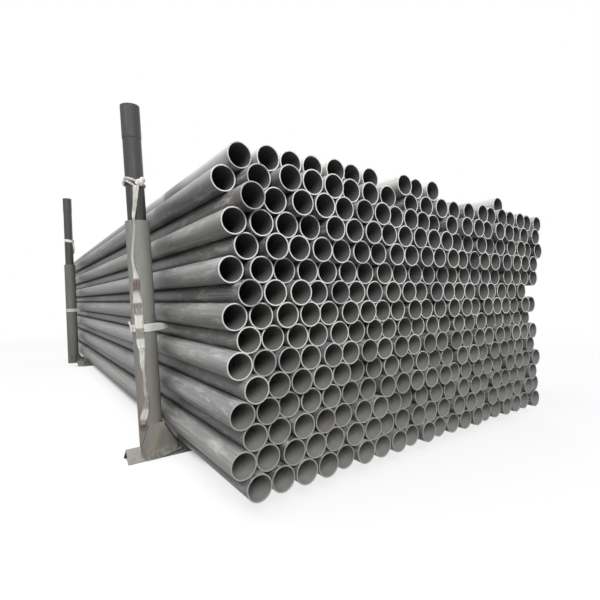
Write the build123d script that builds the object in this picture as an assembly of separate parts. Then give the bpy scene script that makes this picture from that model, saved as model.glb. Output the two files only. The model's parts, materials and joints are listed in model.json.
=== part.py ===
from build123d import *
import os
from math import cos, exp, radians, sin, sqrt, tan

# Steel tube stock in a rack of four stakes, millimetres.
# X runs across the stack, Y along the tubes away from the viewed ends, Z up.
# The origin is on the floor, under the middle of the whole.

# Tubes
tube_od = 114.3
tube_wall = 5.6
tube_length = 6000.0
side_gap = 6.2
seat_gap = 0.3

# Stack of tubes: wide rows alternate with rows of one tube less
row_count = 15
wide_row_tubes = 21
top_row_slots = (0, 1, 2, 3, 4, 5, 6, 8, 9, 10, 16)

# Tube ends: how many steps each row stands out of the mean end plane, bottom row first
lead_step = 5.0
row_steps = (3, 1, 0, -1, -2, -1, -6, -3, -2, -3, 4, 4, 7, 5, -6)
corner_lead = 45.0
corner_fade = 2.0
end_scatter = 13.0
scatter_row_turn = 2.399
scatter_tube_turn = 1.883

# Single tubes that stand out or back by more, as (row, tube from the left): steps
odd_steps = {
    (0, 7): 3,
    (0, 15): -4,
    (2, 8): -5,
    (2, 9): -6,
    (4, 0): 8,
    (4, 1): 5,
    (4, 5): -8,
    (4, 6): -7,
    (6, 16): -4,
    (8, 2): 7,
    (8, 19): -34,
    (9, 0): -6,
    (10, 0): -7,
    (10, 16): 4,
    (11, 0): -6,
    (11, 1): -5,
    (11, 4): 4,
    (11, 5): 6,
    (11, 6): 7,
    (11, 9): 4,
    (12, 0): 8,
    (12, 9): -6,
    (12, 10): -8,
    (13, 0): -23,
    (13, 1): -6,
    (13, 2): 5,
    (13, 3): 5,
    (13, 8): -26,
    (13, 9): -8,
    (13, 10): -10,
    (13, 11): -5,
    (13, 12): -6,
    (14, 0): -4,
}

# Rack: two base angles with the corner up, and a leaning post at each end of both.
# The near posts stand against the tubes, saddled over their angle, which runs out
# past them. The far posts stand off the tubes. The far angle comes to a point at
# each of them, and their sleeves are closed at the bottom.
angle_leg = 90.0
angle_thickness = 8.0
angle_root_radius = 9.0
toe_flat = 2.0
near_overhang = 892.0
bar_spacing = 3840.0
near_bar_reach = 138.0
far_bar_point = 32.0
sleeve_od = 127.0
sleeve_wall = 6.0
stake_od = 98.0
stake_wall = 5.0
sleeve_floor = 8.0
near_sleeve_height = 1319.0
far_sleeve_height = 1370.0
far_sleeve_lap = 11.0
near_lean = 2.65
far_lean = 1.1
far_stand_off = 22.0

# Stake heights, measured along the post from the ridge of its base angle
near_left_stake_height = 1882.0
far_left_stake_height = 2182.0
right_stake_height = 1560.0

# Expanded end at the top of each stake
bell_od = 102.0
bell_length = 175.0

# Gusset plate in front of each post's foot
gusset_thickness = 8.0
gusset_height = 202.0
gusset_top_right = 50.0
gusset_shoulder_height = 78.0
gusset_right = 122.0
gusset_corner_radius = 62.0
near_gusset_left = -74.0
near_gusset_top_left = -30.0
near_gusset_heel_rise = 25.0
near_gusset_heel_run = 90.0
far_gusset_left = 34.0
far_gusset_top_left = 38.0

# Strips of sheet tied round the left posts
strip_thickness = 2.0
strip_angle = 43.0
strip_width = 40.0
strip_end_height = 117.0
ribbon_width = 18.0
tie_band = 26.0
tie_thickness = 3.0
knot_radius = 15.0
near_tie_rise = 224.0
far_tie_rise = 316.0
near_knot_angle = -68.0
far_knot_angle = -35.0
near_cross_tie_height = 662.0
far_cross_tie_height = 693.0
cross_tie_band = 40.0
cross_tie_tip = 12.0
tongue_angle = 60.0

# Sizes that follow
tube_r = tube_od / 2
pitch = tube_od + side_gap
row_rise = sqrt((tube_od + seat_gap) ** 2 - (pitch / 2) ** 2)
half_width = (wide_row_tubes - 1) / 2 * pitch
ridge_height = (angle_leg + angle_thickness) / sqrt(2) - toe_flat
first_row_height = ridge_height + seat_gap + tube_r
sleeve_r = sleeve_od / 2
stake_r = stake_od / 2
bell_r = bell_od / 2
bell_taper = 4 * (bell_r - stake_r)
near_rim = near_sleeve_height - ridge_height
far_rim = far_sleeve_height - ridge_height


def is_wide(row):
    return row % 2 == 1


def row_slots(row):
    if row == row_count - 1:
        return top_row_slots
    return range(wide_row_tubes if is_wide(row) else wide_row_tubes - 1)


def tube_centre(row, slot):
    """Place of a tube's axis across the stack and above the floor."""
    inset = 0.0 if is_wide(row) else pitch / 2
    return -half_width + inset + slot * pitch, first_row_height + row * row_rise


def tube_lead(row, slot):
    """How far a tube's mouth stands out towards -Y of the mean end plane."""
    steps = row_steps[row] + odd_steps.get((row, slot), 0)
    corner = corner_lead * (1 - 2 * row / (row_count - 1)) * exp(-slot / corner_fade)
    scatter = end_scatter * sin(scatter_row_turn * (row + 1) ** 2 + scatter_tube_turn * (slot + 1) ** 2)
    return steps * lead_step + corner + scatter


leads = [tube_lead(row, slot) for row in range(row_count) for slot in row_slots(row)]
mean_plane = (max(leads) + min(leads)) / 2
near_bar_y = mean_plane - tube_length / 2 + near_overhang
bar_y = {"near": near_bar_y, "far": near_bar_y + bar_spacing}
post_lean = {"near": near_lean, "far": far_lean}
stand_off = {"near": seat_gap, "far": far_stand_off}


def tube_row(row):
    """All tubes of one row, each a round pipe along Y with square-cut ends."""
    section = Circle(tube_r) - Circle(tube_r - tube_wall)
    tube = extrude(Plane.XZ * section, amount=tube_length / 2, both=True)
    tubes = []
    for slot in row_slots(row):
        x, z = tube_centre(row, slot)
        tubes.append(Pos(x, mean_plane - tube_lead(row, slot), z) * tube)
    return Compound([piece for tube in tubes for piece in tube.solids()])


def angle_section():
    """Equal angle with its corner up, its toes dressed flat at floor level."""
    t = angle_thickness
    leg = angle_leg
    outline = Polygon((0, 0), (leg, 0), (leg, t), (t, t), (t, leg), (0, leg), align=None)
    root = outline.vertices().filter_by(lambda v: abs(v.X - t) < 0.1 and abs(v.Y - t) < 0.1)
    outline = fillet(root, angle_root_radius)
    outline = Pos(0, ridge_height) * Rot(0, 0, -135) * outline
    floor_line = Pos(0, -leg / 2) * Rectangle(4 * leg, leg)
    return outline - floor_line


def base_angle(end, reach, point):
    """Base angle along X under the tubes, tubes resting on its ridge.
    reach is half its length on the ridge, point how much shorter the toes are."""
    bar = extrude(Plane.YZ * angle_section(), amount=reach, both=True)
    plan = Polygon(
        (-reach, 0),
        (point - reach, -ridge_height),
        (reach - point, -ridge_height),
        (reach, 0),
        (reach - point, ridge_height),
        (point - reach, ridge_height),
        align=None,
    )
    pointed = bar & extrude(plan, amount=2 * ridge_height)
    return Pos(0, bar_y[end], 0) * pointed


def post_foot_x(end):
    """Distance of a post's axis from the middle, at ridge height, so that the
    sleeve stands off the outermost tube of the second row by the end's stand_off."""
    lean = radians(post_lean[end])
    x, z = tube_centre(1, wide_row_tubes - 1)
    reach = tube_r + sleeve_r + stand_off[end]
    return x + (reach - (z - ridge_height) * sin(lean)) / cos(lean)


def on_post(shape, side, end):
    """Set a shape made round the Z axis on a post's leaning axis.
    side is -1 for the left post and 1 for the right one."""
    foot = Pos(side * post_foot_x(end), bar_y[end], ridge_height)
    return foot * Rot(0, side * post_lean[end], 0) * shape


def saddled_sleeve(side, end):
    """Post sleeve, its foot cut to sit over the base angle."""
    body = Circle(sleeve_r) - Circle(sleeve_r - sleeve_wall)
    pipe = Pos(0, 0, -ridge_height) * extrude(body, amount=near_sleeve_height)
    pipe = on_post(pipe, side, end)
    wedge = Polygon(
        (0, ridge_height + seat_gap * sqrt(2)),
        (-2 * ridge_height, seat_gap * sqrt(2) - ridge_height),
        (2 * ridge_height, seat_gap * sqrt(2) - ridge_height),
        align=None,
    )
    saddle = extrude(Plane.YZ * wedge, amount=2 * sleeve_od, both=True)
    floor = Pos(0, 0, -ridge_height) * Box(4 * sleeve_od, 4 * sleeve_od, 2 * ridge_height)
    at_foot = Pos(side * post_foot_x(end), bar_y[end], 0)
    return pipe - at_foot * saddle - at_foot * floor


def closed_sleeve(side, end):
    """Post sleeve with a flat bottom, a little below the ridge of the base angle."""
    outer = extrude(Circle(sleeve_r), amount=far_rim + far_sleeve_lap)
    inner = extrude(Circle(sleeve_r - sleeve_wall), amount=far_sleeve_height)
    pipe = Pos(0, 0, -far_sleeve_lap) * (outer - Pos(0, 0, sleeve_floor) * inner)
    return on_post(pipe, side, end)


def stake(top, foot, side, end):
    """Stake pipe with an expanded top end, standing in the sleeve.
    top and foot are measured along the post from ridge height."""
    bore = stake_r - stake_wall
    outline = Polyline(
        (bore, foot),
        (stake_r, foot),
        (stake_r, top - bell_length - bell_taper),
        (bell_r, top - bell_length),
        (bell_r, top),
        (bell_r - stake_wall, top),
        (bell_r - stake_wall, top - bell_length),
        (bore, top - bell_length - bell_taper),
        close=True,
    )
    pipe = revolve(Plane.XZ * make_face(outline), axis=Axis.Z)
    return on_post(pipe, side, end)


def gusset(left, top_left, heel_rise, side, end):
    """Foot plate in front of the sleeve, cut back to clear the lowest tubes.
    left and top_left are its edge away from the stack, from the post's axis."""
    foot = max(ridge_height - sleeve_r, 0) + seat_gap
    outline = Polyline(
        (left, gusset_shoulder_height),
        (top_left, gusset_height),
        (gusset_top_right, gusset_height),
        (gusset_right, gusset_shoulder_height),
        (gusset_right, foot),
        (left, foot),
        close=True,
    )
    face = make_face(outline)
    lower_left = face.vertices().sort_by(Axis.X)[:2].sort_by(Axis.Y)[0]
    face = fillet(lower_left, gusset_corner_radius)
    if heel_rise > 0:
        heel = Polygon(
            (gusset_right, foot),
            (gusset_right, foot + heel_rise),
            (gusset_right - near_gusset_heel_run, foot),
            align=None,
        )
        face = face - heel
    if side > 0:
        face = mirror(face, about=Plane.YZ)
    plate = extrude(Plane.XZ * face, amount=gusset_thickness)
    return Pos(side * post_foot_x(end), bar_y[end] - sleeve_r - seat_gap, 0) * plate


def band(inner_r, thickness, width, height):
    """Flat ring of strip round a pipe, its middle at the given height."""
    ring = Circle(inner_r + thickness) - Circle(inner_r)
    return Pos(0, 0, height - width / 2) * extrude(ring, amount=width)


def tie_radius(height, stake_top):
    """Inner radius of a tie on a stake, which is wider where the tie lies on the bell."""
    on_bell = height + tie_band / 2 > stake_top - bell_length - bell_taper
    return (bell_r if on_bell else stake_r) + seat_gap


def knot(inner_r, height):
    """Lump of the tied ends, on a band's +X side."""
    ball = Pos(inner_r + tie_thickness, 0, height) * Sphere(knot_radius)
    core = Pos(0, 0, height) * Cylinder(inner_r + tie_thickness / 3, 4 * knot_radius)
    return ball - core


def hanging_strip():
    """Strip tied round the near left stake, its long tail down the sleeve."""
    tie_height = near_rim + near_tie_rise
    tie_r = tie_radius(tie_height, near_left_stake_height)
    skin_r = sleeve_r + seat_gap
    loop = band(tie_r, tie_thickness, tie_band, tie_height)
    lump = Rot(0, 0, near_knot_angle + 90 + strip_angle) * knot(tie_r, tie_height)
    in_loop = tie_r + tie_thickness / 2
    lap_r = skin_r + strip_thickness / 2
    ribbon_line = Polyline(
        (in_loop, tie_height),
        (lap_r, near_rim + 3 * strip_thickness),
        (lap_r, near_rim - ribbon_width),
        (lap_r + strip_thickness, near_rim - ribbon_width),
        (lap_r + strip_thickness, near_rim + 3 * strip_thickness),
        (in_loop + strip_thickness, tie_height),
        close=True,
    )
    ribbon = extrude(Plane.XZ * make_face(ribbon_line), amount=ribbon_width / 2, both=True)
    half_turn = strip_width / skin_r / 2
    wedge = Polyline(
        (0, 0),
        (2 * skin_r, -2 * skin_r * tan(half_turn)),
        (2 * skin_r, 2 * skin_r * tan(half_turn)),
        close=True,
    )
    skin = (Circle(skin_r + strip_thickness) - Circle(skin_r)) & make_face(wedge)
    tail = Pos(0, 0, strip_end_height) * extrude(skin, amount=near_rim - ribbon_width / 2 - strip_end_height)
    strip = loop + lump + ribbon + tail
    return on_post(Rot(0, 0, -90 - strip_angle) * strip, -1, "near")


def stake_tie():
    """Short strip knotted round the far left stake."""
    height = far_rim + far_tie_rise
    tie_r = tie_radius(height, far_left_stake_height)
    loop = band(tie_r, tie_thickness, tie_band, height) + knot(tie_r, height)
    return on_post(Rot(0, 0, far_knot_angle) * loop, -1, "far")


def stack_side(height, half):
    """Place of the stack's left side: its leftmost steel within half of a height."""
    edge = 0.0
    for row in range(row_count):
        x, z = tube_centre(row, 0)
        off = max(abs(height - z) - half, 0)
        if off < tube_r:
            edge = min(edge, x - sqrt(tube_r**2 - off**2))
    return edge


def cross_tie(end, height, inner_r):
    """Strip round a left sleeve, its tongue led level up to the tubes."""
    lean = radians(post_lean[end])
    side = stack_side(ridge_height + height * cos(lean), cross_tie_tip)
    tip_x = (side - seat_gap + post_foot_x(end) + height * sin(lean)) / cos(lean)
    mid_r = inner_r + tie_thickness / 2
    start_x = mid_r * cos(radians(tongue_angle))
    start_y = -mid_r * sin(radians(tongue_angle))
    run = (tip_x - start_x) / sin(radians(tongue_angle)) - tie_thickness
    pennant = Polyline(
        (0, cross_tie_band / 2),
        (run, cross_tie_tip / 2),
        (run, -cross_tie_tip / 2),
        (0, -cross_tie_band / 2),
        close=True,
    )
    tongue = extrude(Plane.XZ * make_face(pennant), amount=tie_thickness / 2, both=True)
    turned = Pos(start_x, start_y, height) * Rot(0, 0, 90 - tongue_angle) * tongue
    loop = band(inner_r, tie_thickness, cross_tie_band, height)
    return on_post(loop + turned, -1, end)


def write(name, shape):
    export_step(shape, os.path.join("parts", name + ".step"))


os.makedirs("parts", exist_ok=True)

for row in range(row_count):
    write("tube_row_%02d" % (row + 1), tube_row(row))

far_slope = tan(radians(far_lean))
far_reach = post_foot_x("far") - sleeve_r - seat_gap - far_sleeve_lap * far_slope
write("near_base_angle", base_angle("near", post_foot_x("near") + near_bar_reach, 0))
write("far_base_angle", base_angle("far", far_reach, far_bar_point))

for hand, side in (("left", -1), ("right", 1)):
    near_top = near_left_stake_height if side < 0 else right_stake_height
    far_top = far_left_stake_height if side < 0 else right_stake_height
    near_foot = seat_gap + stake_r * tan(radians(near_lean))
    far_foot = sleeve_floor + seat_gap - far_sleeve_lap
    near_plate = gusset(near_gusset_left, near_gusset_top_left, near_gusset_heel_rise, side, "near")
    far_plate = gusset(far_gusset_left, far_gusset_top_left, 0, side, "far")
    write("near_" + hand + "_sleeve", saddled_sleeve(side, "near"))
    write("far_" + hand + "_sleeve", closed_sleeve(side, "far"))
    write("near_" + hand + "_stake", stake(near_top, near_foot, side, "near"))
    write("far_" + hand + "_stake", stake(far_top, far_foot, side, "far"))
    write("near_" + hand + "_gusset", near_plate)
    write("far_" + hand + "_gusset", far_plate)

write("near_hanging_strip", hanging_strip())
write("near_cross_tie", cross_tie("near", near_cross_tie_height, sleeve_r + 2 * seat_gap + strip_thickness))
write("far_stake_tie", stake_tie())
write("far_cross_tie", cross_tie("far", far_cross_tie_height, sleeve_r + seat_gap))
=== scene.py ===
"""Looks of a stack of steel tubes that stands in a rack of four leaning stakes.

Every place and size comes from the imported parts. The tubes are drawn again with dressed
ends, a skin, a bore and bright cuts, the tied strips as folded sheets with knots, and
the rack gets worn finishes and weld beads. Lengths are metres.
"""

import json
from math import radians, tau

import bmesh
import bpy
import numpy as np
from bpy.props import FloatProperty, FloatVectorProperty, IntProperty, PointerProperty
from mathutils import Matrix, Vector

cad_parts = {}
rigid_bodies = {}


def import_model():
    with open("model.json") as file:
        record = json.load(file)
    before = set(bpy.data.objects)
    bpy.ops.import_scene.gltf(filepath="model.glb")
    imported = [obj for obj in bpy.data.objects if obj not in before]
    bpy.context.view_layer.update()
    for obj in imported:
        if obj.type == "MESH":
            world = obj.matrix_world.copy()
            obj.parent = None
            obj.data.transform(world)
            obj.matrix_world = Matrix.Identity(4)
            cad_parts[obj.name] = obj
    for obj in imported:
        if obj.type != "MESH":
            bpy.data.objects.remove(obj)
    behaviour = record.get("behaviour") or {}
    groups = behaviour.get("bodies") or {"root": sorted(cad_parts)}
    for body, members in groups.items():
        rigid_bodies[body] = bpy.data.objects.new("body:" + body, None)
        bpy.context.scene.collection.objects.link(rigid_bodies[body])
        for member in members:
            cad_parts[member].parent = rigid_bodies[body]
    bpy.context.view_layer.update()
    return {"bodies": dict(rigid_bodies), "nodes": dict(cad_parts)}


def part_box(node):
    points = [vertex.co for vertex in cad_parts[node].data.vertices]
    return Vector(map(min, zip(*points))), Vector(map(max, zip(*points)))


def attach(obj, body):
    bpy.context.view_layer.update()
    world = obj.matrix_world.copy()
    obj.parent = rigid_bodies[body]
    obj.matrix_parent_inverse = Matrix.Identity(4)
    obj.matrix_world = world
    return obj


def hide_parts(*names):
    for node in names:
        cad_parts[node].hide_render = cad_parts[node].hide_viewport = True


bl_info = {
    "name": "Tube Stack",
    "version": (1, 0, 0),
    "blender": (4, 5, 0),
    "location": "View3D > Sidebar > Tube Stack",
    "description": "Finishes a stack of steel tubes in its rack",
    "category": "Object",
}

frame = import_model()
BODY = next(iter(frame["bodies"]))
ROWS = sorted(name for name in frame["nodes"] if name.startswith("tube_row_"))
HANDS = ("left", "right")
PLACES = ("near", "far")
WHITE = (1, 1, 1)
# Material slots of a tube
SKIN, CUT, BORE = range(3)
# A corner within this of a node's edge lies on it
ON_EDGE = 0.002
# Brown and green soil of a clean strip
CLEAN = (0.0, 0.0)


def colour(name, text, value):
    """A colour setting."""
    return FloatVectorProperty(
        name=name, description=text, default=value, size=3, subtype="COLOR", min=0, max=1
    )


def length(name, text, value):
    """A length setting."""
    return FloatProperty(name=name, description=text, default=value, unit="LENGTH", precision=4)


def share(name, text, value):
    """A setting from 0 to 1."""
    return FloatProperty(name=name, description=text, default=value, min=0, max=1, subtype="FACTOR")


def angle(name, text, value):
    """An angle setting, given in degrees."""
    return FloatProperty(name=name, description=text, default=radians(value), unit="ROTATION")


def power(name, where, value):
    """A lamp's power setting."""
    return FloatProperty(name=name, description=f"Power of the lamp {where} in watts", default=value)


class TubeSettings(bpy.types.PropertyGroup):
    """Sizes and colours of the tubes."""

    sides: IntProperty(name="Sides", description="Flats round a tube", default=40, min=24)
    edge: length("Dressed edge", "Width of the broken edge at a cut end", 0.0008)
    seed: IntProperty(name="Seed", description="Picks the tone of each tube", default=7)
    skin: colour("Skin", "Mill scale on the outside", (0.285, 0.282, 0.275))
    # Also the colour of the painted shade on the inset rows and of the painted shadow beside the posts
    skin_dark: colour("Dark skin", "Thick scale and oil on the outside", (0.105, 0.103, 0.1))
    skin_pale: colour("Pale skin", "Bare and chalky streaks", (0.56, 0.56, 0.55))
    # Painted light: this colour makes the upper rows paler, most at the viewed end
    bleached: colour("Painted light skin", "Painted light on the upper rows", (0.7, 0.69, 0.67))
    warm: colour("Warm tint", "Thin rust over the scale", (0.27, 0.235, 0.2))
    cool: colour("Cool tint", "Blued scale", (0.26, 0.278, 0.295))
    cut: colour("Cut", "Bright metal of a sawn end", (0.92, 0.92, 0.9))
    cut_dull: colour("Dull cut", "Oiled and soiled metal of a sawn end", (0.33, 0.33, 0.32))
    # The bore colour is also the painted light in the lower rows' bores, and the dark bore the painted shade
    # in the upper rows' bores
    bore: colour("Bore", "Dry, dusty scale inside a tube", (0.37, 0.362, 0.345))
    bore_dark: colour("Dark bore", "Oiled scale inside a tube", (0.115, 0.115, 0.115))


class RackSettings(bpy.types.PropertyGroup):
    """Colours of the rack and the size of its welds."""

    sleeve: colour("Sleeve paint", "Worn paint of the post sleeves", (0.268, 0.268, 0.246))
    sleeve_foot: colour("Sleeve foot", "Dirtied paint low on the sleeves", (0.255, 0.23, 0.212))
    stake: colour("Stake paint", "Dark paint of the stakes", (0.038, 0.0375, 0.037))
    stake_worn: colour("Worn stake", "Purplish primer where the paint is thin", (0.056, 0.0525, 0.053))
    angle: colour("Angle paint", "Paint of the base angles", (0.31, 0.301, 0.287))
    plate: colour("Plate paint", "Paint of the foot plates", (0.28, 0.255, 0.235))
    plate_grey: colour("Grey plate", "Bare grey stretch of the foot plates", (0.165, 0.162, 0.15))
    soil_brown: colour("Earth", "Dried earth low on the rack", (0.25, 0.19, 0.155))
    olive: colour("Olive dirt", "Greenish dirt on the plates", (0.29, 0.278, 0.21))
    # Also the colour of painted shade inside the base angles and in the foot plates' outer lower corners
    crevice: colour("Crevice", "Dark dirt in the seams", (0.035, 0.033, 0.028))
    rust: colour("Rust", "Rust on edges and spots", (0.15, 0.072, 0.038))
    dust: colour("Dust", "Dried dirt on the paint", (0.36, 0.34, 0.3))
    # Painted shade: a darker copy of the sleeve paint for the far sleeves
    far_sleeve: colour("Far sleeve paint", "Painted shade: darker sleeve paint for the far sleeves", (0.15, 0.149, 0.14))
    far_stake: colour("Far stake paint", "Paint of the far stakes", (0.052, 0.052, 0.05))
    # Painted shade: a darker plate paint for the far foot plates
    far_plate: colour("Far plate paint", "Painted shade: darker plate paint for the far foot plates", (0.06, 0.056, 0.05))
    bead: colour("Weld", "Weld metal and slag", (0.42, 0.44, 0.38))
    bead_radius: length("Weld radius", "Half the width of an upright weld bead", 0.004)


class StripSettings(bpy.types.PropertyGroup):
    """Sizes and colours of the tied strips."""

    width: length("Strip width", "Width that the strips were torn to", 0.062)
    thickness: length("Strip thickness", "Thickness of the cloth", 0.0012)
    cloth: colour("Cloth", "Clean woven cloth", (0.88, 0.87, 0.83))
    soil: colour("Soil", "Brown dirt in the cloth", (0.19, 0.13, 0.105))
    moss: colour("Green soil", "Greenish grey dirt in the cloth", (0.27, 0.26, 0.18))


class StageSettings(bpy.types.PropertyGroup):
    """Camera, lamps and floor."""

    eye: FloatVectorProperty(
        name="Eye",
        description="Place of the camera",
        default=(-1.9148, -4.5303, 0.8813),
        subtype="TRANSLATION",
        precision=4,
    )
    turn: angle("Turn", "Camera's turn from +Y towards +X", 34.743)
    tip: angle("Tip", "Camera's tip above the level", -0.32)
    roll: angle("Roll", "Camera's roll about its view", -0.897)
    lens: FloatProperty(name="Lens", description="Focal length in millimetres", default=24.145)
    sky: share("Sky light", "Strength of the light from all round", 0.2)
    top: power("Top lamp", "overhead", 500)
    key: power("Key lamp", "in front", 850)
    fill: power("Fill lamp", "at the back right", 380)
    floor: colour("Floor", "Colour of the floor in the light that it throws back", (0.12, 0.12, 0.118))
    floor_white: share("Floor white", "How far the floor goes to plain white near the stack", 0.8)
    shadow_reach: length("Shadow reach", "Where the floor has gone to plain white", 9.0)


class StackSettings(bpy.types.PropertyGroup):
    """All settings of the stack."""

    tubes: PointerProperty(name="Tubes", description="Tube settings", type=TubeSettings)
    rack: PointerProperty(name="Rack", description="Rack settings", type=RackSettings)
    strips: PointerProperty(name="Strips", description="Strip settings", type=StripSettings)
    stage: PointerProperty(name="Stage", description="Stage settings", type=StageSettings)


def settings():
    """The scene's settings of the stack."""
    return bpy.context.scene.tube_stack


class Wire:
    """An output socket that takes part in Python arithmetic, each step a Math node."""

    def __init__(self, nodes, socket):
        self.nodes = nodes
        self.socket = socket

    def maths(self, operation, *values):
        return self.nodes.node("ShaderNodeMath", {"operation": operation}, dict(enumerate(values)))

    def __add__(self, other):
        return self.maths("ADD", self, other)

    def __radd__(self, other):
        return self.maths("ADD", other, self)

    def __sub__(self, other):
        return self.maths("SUBTRACT", self, other)

    def __rsub__(self, other):
        return self.maths("SUBTRACT", other, self)

    def __mul__(self, other):
        return self.maths("MULTIPLY", self, other)

    def __rmul__(self, other):
        return self.maths("MULTIPLY", other, self)

    def at_most(self, other):
        return self.maths("MINIMUM", self, other)

    def apart(self, other):
        """How far the value lies from another one."""
        return self.maths("ABSOLUTE", self - other)

    def fade(self, low, high):
        """Goes smoothly from 0 at low to 1 at high, also where low is the larger."""
        flip = low > high
        values = {"Value": self, "From Min": min(low, high), "From Max": max(low, high)}
        values.update({"To Min": float(flip), "To Max": float(not flip)})
        return self.nodes.node("ShaderNodeMapRange", {"interpolation_type": "SMOOTHSTEP"}, values)

    def within(self, low, high, low_edge, high_edge):
        """1 between low and high and 0 outside, over soft edges that lie inside them."""
        return self.fade(low, low + low_edge) * self.fade(high, high - high_edge)


class Nodes:
    """A node tree that is filled one node at a time."""

    def __init__(self, tree):
        self.tree = tree

    def node(self, kind, choices=None, values=None, out=0):
        """Adds a node with its choices, then sets or links its sockets. Gives an output."""
        made = self.tree.nodes.new(kind)
        for name, value in (choices or {}).items():
            setattr(made, name, value)
        for key, value in (values or {}).items():
            self.feed(made.inputs[key], value)
        return Wire(self, made.outputs[out])

    def feed(self, socket, value):
        if isinstance(value, Wire):
            self.tree.links.new(value.socket, socket)
        else:
            socket.default_value = value

    def seen(self):
        """1 for a ray from the camera, a reflection or a way through glass, and 0 for light."""
        kinds = ("Camera", "Glossy", "Transmission")
        camera, glossy, through = (self.node("ShaderNodeLightPath", out=f"Is {kind} Ray") for kind in kinds)
        return (camera + glossy + through).at_most(1)

    def whiten(self, kind, output, factor, plain):
        """Sends out a plain shader that goes to white of the given kind as the factor rises."""
        white = self.node(kind, None, {"Color": (*WHITE, 1), "Strength": 1.0})
        mixed = self.node("ShaderNodeMixShader", None, {0: factor, 1: plain, 2: white})
        self.feed(self.tree.nodes[output].inputs["Surface"], mixed)


class Finish(Nodes):
    """A material made of nodes in front of one Principled shader."""

    def __init__(self, name):
        self.material = bpy.data.materials.new(name)
        self.material.use_nodes = True
        super().__init__(self.material.node_tree)
        self.shader = self.tree.nodes["Principled BSDF"]
        self.place = self.node("ShaderNodeTexCoord", out="Object")
        self.body = None

    def noise(self, scale, stretch=(1, 1, 1), detail=4, rough=0.55, bend=0.0):
        """Noise on Object coordinates, with a scale for each axis."""
        place = self.node("ShaderNodeMapping", None, {"Vector": self.place, "Scale": stretch})
        values = {"Vector": place, "Scale": scale, "Detail": detail, "Roughness": rough, "Distortion": bend}
        return self.node("ShaderNodeTexNoise", None, values)

    def attribute(self, name):
        return self.node("ShaderNodeAttribute", {"attribute_name": name}, out="Fac")

    def own_map(self):
        """The piece's own UV map."""
        return self.node("ShaderNodeUVMap", {"uv_map": "UVMap"})

    def axes(self, names="XYZ", vector=None):
        """Coordinates of a vector, or of the object's own place."""
        values = {0: vector or self.place}
        return [self.node("ShaderNodeSeparateXYZ", None, values, out=name) for name in names]

    def near(self, place, size):
        """1 close to a place, falling to 0 at the size's distance from it."""
        values = {0: self.place, 1: place}
        away = self.node("ShaderNodeVectorMath", {"operation": "DISTANCE"}, values, out="Value")
        return away.fade(size, 0.35 * size)

    def mix(self, factor, first, second):
        """Goes from one colour to another as the factor goes from 0 to 1."""
        first, second = (c if isinstance(c, Wire) else (*c, 1) for c in (first, second))
        return self.node("ShaderNodeMix", {"data_type": "RGBA"}, {0: factor, 6: first, 7: second}, out=2)

    def start(self, factor, first, second):
        """Makes the body colour a mix of two."""
        self.body = self.mix(factor, first, second)

    def coat(self, paint, mask):
        """Lays a colour over the body where the mask is 1."""
        self.body = self.mix(mask, self.body, paint)

    def set(self, **values):
        """Sets or links sockets of the shader, named with _ for each space."""
        for name, value in values.items():
            self.feed(self.shader.inputs[name.replace("_", " ")], value)
        return self.material

    def done(self, height, depth, strength, **values):
        """Puts the body colour, a bump and more values into the shader. The bump's height
        is in units of depth. Gives the material."""
        bump = self.node("ShaderNodeBump", None, {"Height": height, "Distance": depth, "Strength": strength})
        return self.set(Base_Color=self.body, Normal=bump, **values)


def add_object(name, data):
    """A new object in the scene around a mesh, a lamp or a camera."""
    made = bpy.data.objects.new(name, data)
    bpy.context.scene.collection.objects.link(made)
    return made


def corners(node):
    """A CAD node's corners as an array, each place once."""
    mesh = frame["nodes"][node].data
    flat = np.empty(len(mesh.vertices) * 3, np.float32)
    mesh.vertices.foreach_get("co", flat)
    return np.unique(flat.reshape(-1, 3).astype(float).round(6), axis=0)


def make_piece(name, points, faces, finishes, replaces=(), uv=None, sharp=40):
    """Puts points and faces into a new object that rides on the stack's body.

    uv holds one pair for each corner of each face, in the order of the faces. Edges that
    bend by more than sharp, in degrees, stay sharp."""
    mesh = bpy.data.meshes.new(name)
    mesh.from_pydata(points.reshape(-1, 3), [], faces, shade_flat=False)
    for finish in finishes:
        mesh.materials.append(finish)
    if uv is not None:
        mesh.uv_layers.new(name="UVMap").data.foreach_set("uv", np.ravel(uv))
    mesh.set_sharp_from_angle(angle=radians(sharp))
    mesh.update()
    piece = add_object(name, mesh)
    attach(piece, BODY)
    if replaces:
        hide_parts(*replaces)
    return piece


def point_values(piece, shape, **values):
    """Stores a number for each point of a piece, its points counted over a grid's shape."""
    for name, numbers in values.items():
        numbers = np.broadcast_to(numbers, shape).astype(np.float32).ravel()
        piece.data.attributes.new(name, "FLOAT", "POINT").data.foreach_set("value", numbers)


def grid_faces(rows, columns, closed=False):
    """Quads of a grid of points counted row by row, closed across the columns if asked."""
    row, column = np.meshgrid(np.arange(rows - 1), np.arange(columns - (not closed)), indexing="ij")
    first = row * columns + column
    beside = row * columns + (column + 1) % columns
    return np.stack((first, beside, beside + columns, first + columns), axis=-1).reshape(-1, 4)


def tube_pitch():
    """Spacing of the tubes: each odd row lies half a spacing further in than the next."""
    return 2 * (corners(ROWS[0])[:, 0].min() - corners(ROWS[1])[:, 0].min())


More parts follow.
